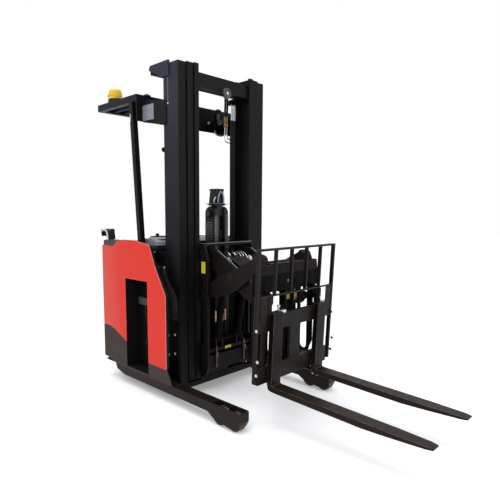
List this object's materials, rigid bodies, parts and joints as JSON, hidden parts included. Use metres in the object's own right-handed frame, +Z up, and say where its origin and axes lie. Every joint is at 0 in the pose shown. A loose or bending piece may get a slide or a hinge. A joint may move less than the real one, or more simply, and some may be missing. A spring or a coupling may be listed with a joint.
{
  "type": "reach truck",
  "caption": "Stand-on reach truck with a telescoping mast, scissor reach carriage, forks, straddle legs and overhead guard.",
  "frame": {"origin": "floor level under the centre of the truck's length and width at rest", "axes": "+X towards the fork tips, +Y to the truck's left, +Z up"},
  "size_m": [2.9189, 1.17, 2.6105],
  "materials": {
    "black_paint": "satin black paint",
    "chassis_paint": "satin dark brown-black paint",
    "red_paint": "gloss red paint",
    "skirt_paint": "textured dark brown-grey paint",
    "console_paint": "satin silver-grey",
    "dark_plastic": "grained dark plastic",
    "pad_vinyl": "dark grey vinyl",
    "chrome": "ground and chromed",
    "bare_steel": "oiled steel",
    "polyurethane": "orange-brown polyurethane",
    "beacon_lens": "amber-yellow lens",
    "battery_case": "dark battery tray"
  },
  "bodies": {
    "truck": {"chassis": "skirt_paint", "leg_left": "chassis_paint", "leg_right": "chassis_paint", "side_panel_left": "red_paint", "side_panel_right": "red_paint", "arm_pad_left": "pad_vinyl", "arm_pad_right": "pad_vinyl", "top_cover": "dark_plastic", "console": "console_paint", "control_handle": "dark_plastic", "rear_cover": "skirt_paint", "operator_floor": "dark_plastic", "back_pad": "pad_vinyl", "battery": "battery_case", "drive_plate": "chassis_paint", "guard_post_left": "black_paint", "guard_post_right": "black_paint", "overhead_guard": "black_paint", "beacon": "beacon_lens", "mast_outer": "black_paint", "lift_cylinders": "black_paint"},
    "load_wheel_left_front": {"load_wheel_left_front": "polyurethane"},
    "load_wheel_left_rear": {"load_wheel_left_rear": "polyurethane"},
    "load_wheel_right_front": {"load_wheel_right_front": "polyurethane"},
    "load_wheel_right_rear": {"load_wheel_right_rear": "polyurethane"},
    "drive_unit": {"drive_unit": "chassis_paint"},
    "drive_wheel": {"drive_wheel": "polyurethane"},
    "steering_wheel": {"steering_wheel": "dark_plastic"},
    "caster_yoke": {"caster_yoke": "chassis_paint"},
    "caster_wheel": {"caster_wheel": "polyurethane"},
    "mast_middle": {"mast_middle": "black_paint", "lift_rods": "chrome"},
    "mast_inner": {"mast_inner": "black_paint", "free_lift_cylinder": "black_paint"},
    "lift_head": {"free_lift_ram": "bare_steel"},
    "reach_support": {"reach_support": "chassis_paint", "lift_chains": "bare_steel"},
    "inner_arms": {"inner_arms": "chassis_paint"},
    "outer_arms": {"outer_arms": "chassis_paint"},
    "front_frame": {"front_frame": "chassis_paint", "tilt_cylinder": "black_paint"},
    "fork_carriage": {"fork_carriage": "chassis_paint", "load_backrest": "chassis_paint", "fork_left": "chassis_paint", "fork_right": "chassis_paint"},
    "reach_tubes": {"reach_tubes": "black_paint"},
    "reach_rods": {"reach_rods": "chrome"}
  },
  "joints": [
    {"name": "load_wheel_left_front_spin", "type": "hinge", "parent": "truck", "child": "load_wheel_left_front", "pos_m": [0.239, 0.537, 0.0635], "axis": [0, 1, 0], "continuous": true},
    {"name": "load_wheel_left_rear_spin", "type": "hinge", "parent": "truck", "child": "load_wheel_left_rear", "pos_m": [0.099, 0.537, 0.0635], "axis": [0, 1, 0], "continuous": true},
    {"name": "load_wheel_right_front_spin", "type": "hinge", "parent": "truck", "child": "load_wheel_right_front", "pos_m": [0.239, -0.537, 0.0635], "axis": [0, 1, 0], "continuous": true},
    {"name": "load_wheel_right_rear_spin", "type": "hinge", "parent": "truck", "child": "load_wheel_right_rear", "pos_m": [0.099, -0.537, 0.0635], "axis": [0, 1, 0], "continuous": true},
    {"name": "drive_steer", "type": "hinge", "parent": "truck", "child": "drive_unit", "pos_m": [-1.198, -0.325, 0.125], "axis": [0, 0, 1], "range_deg": [-90, 90]},
    {"name": "drive_wheel_spin", "type": "hinge", "parent": "drive_unit", "child": "drive_wheel", "pos_m": [-1.198, -0.325, 0.125], "axis": [0, 1, 0], "continuous": true},
    {"name": "steering_wheel_turn", "type": "hinge", "parent": "truck", "child": "steering_wheel", "pos_m": [-0.833, -0.33, 1.262], "axis": [0, 0, 1], "range_deg": [-275, 275]},
    {"name": "caster_swivel", "type": "hinge", "parent": "truck", "child": "caster_yoke", "pos_m": [-1.213, 0.33, 0.075], "axis": [0, 0, 1], "continuous": true},
    {"name": "caster_wheel_spin", "type": "hinge", "parent": "caster_yoke", "child": "caster_wheel", "pos_m": [-1.253, 0.33, 0.075], "axis": [0, 1, 0], "continuous": true},
    {"name": "mast_lift", "type": "slide", "parent": "truck", "child": "mast_middle", "axis": [0, 0, 1], "range_m": [0, 1.45]},
    {"name": "mast_inner_lift", "type": "slide", "parent": "mast_middle", "child": "mast_inner", "axis": [0, 0, 1], "range_m": [0, 1.451]},
    {"name": "free_lift", "type": "slide", "parent": "mast_inner", "child": "reach_support", "axis": [0, 0, 1], "range_m": [-0.16, 1.15]},
    {"name": "lift_head_slide", "type": "slide", "parent": "mast_inner", "child": "lift_head", "axis": [0, 0, 1], "range_m": [-0.081, 0.576]},
    {"name": "reach", "type": "hinge", "parent": "reach_support", "child": "inner_arms", "pos_m": [-0.403, 0, 1.138], "axis": [0, -1, 0], "range_deg": [-50, 3]},
    {"name": "outer_arm_fold", "type": "hinge", "parent": "inner_arms", "child": "outer_arms", "pos_m": [-0.103, 0, 0.98514], "axis": [0, -1, 0], "range_deg": [-6.1, 100.1]},
    {"name": "front_frame_turn", "type": "hinge", "parent": "outer_arms", "child": "front_frame", "pos_m": [0.197, 0, 1.138], "axis": [0, -1, 0], "range_deg": [-50.1, 3.1]},
    {"name": "reach_tube_swing", "type": "hinge", "parent": "reach_support", "child": "reach_tubes", "pos_m": [-0.383, 0, 0.43], "axis": [0, 1, 0], "range_deg": [-7.1, 0.5]},
    {"name": "reach_rod_slide", "type": "slide", "parent": "reach_tubes", "child": "reach_rods", "axis": [0.1604, 0, 0.987], "range_m": [-0.0925, 0.006]},
    {"name": "carriage_tilt", "type": "hinge", "parent": "front_frame", "child": "fork_carriage", "pos_m": [0.303, 0, 0.88], "axis": [0, -1, 0], "range_deg": [-1.5, 5.4]}
  ],
  "couplings": [
    {"joint": "steering_wheel_turn", "follows": "drive_steer", "ratio": 3},
    {"joint": "mast_inner_lift", "follows": "mast_lift", "ratio": 1},
    {"joint": "lift_head_slide", "follows": "free_lift", "ratio": 0.5},
    {"joint": "outer_arm_fold", "follows": "reach", "ratio": -2},
    {"joint": "front_frame_turn", "follows": "reach", "ratio": 1},
    {"joint": "reach_tube_swing", "follows": "reach", "ratio": 0.14037},
    {"joint": "reach_rod_slide", "follows": "reach", "m_per_rad": 0.10567}
  ]
}
